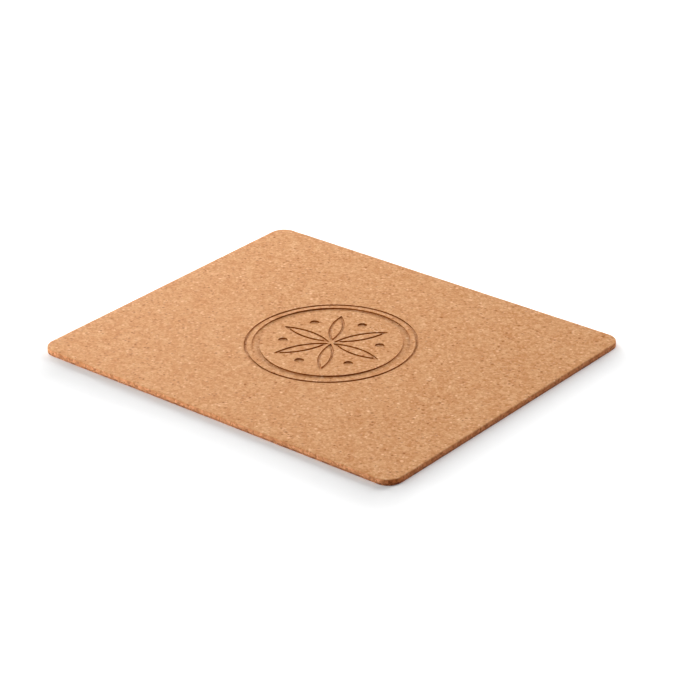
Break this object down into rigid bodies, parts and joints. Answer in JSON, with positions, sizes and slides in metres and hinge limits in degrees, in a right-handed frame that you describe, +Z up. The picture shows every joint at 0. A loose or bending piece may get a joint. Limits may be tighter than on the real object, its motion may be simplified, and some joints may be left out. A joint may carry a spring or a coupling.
{
  "type": "mouse pad",
  "caption": "Flat rectangular cork mouse pad with rounded corners: a fine pressed-cork face for the mouse, bonded to a thin rubber-cork base that grips the desk.",
  "frame": {"origin": "middle of the underside, on the desk", "axes": "+X along the long side to the user's right, +Y from the user's edge to the far edge, +Z up out of the mousing face"},
  "size_m": [0.22, 0.18, 0.003],
  "materials": {
    "fine_cork": "sanded, matt, fine-grain pressed cork, tan with small dark specks, browner on the cut edge",
    "adhesive": "clear amber transfer adhesive, seen only as a hairline on the cut edge",
    "rubber_cork": "matt brown cork crumb bound with rubber, darker along the seams between the crumbs"
  },
  "bodies": {
    "root": {"cork_face_sheet": "fine_cork", "adhesive_film": "adhesive", "grip_base": "rubber_cork"}
  },
  "joints": []
}
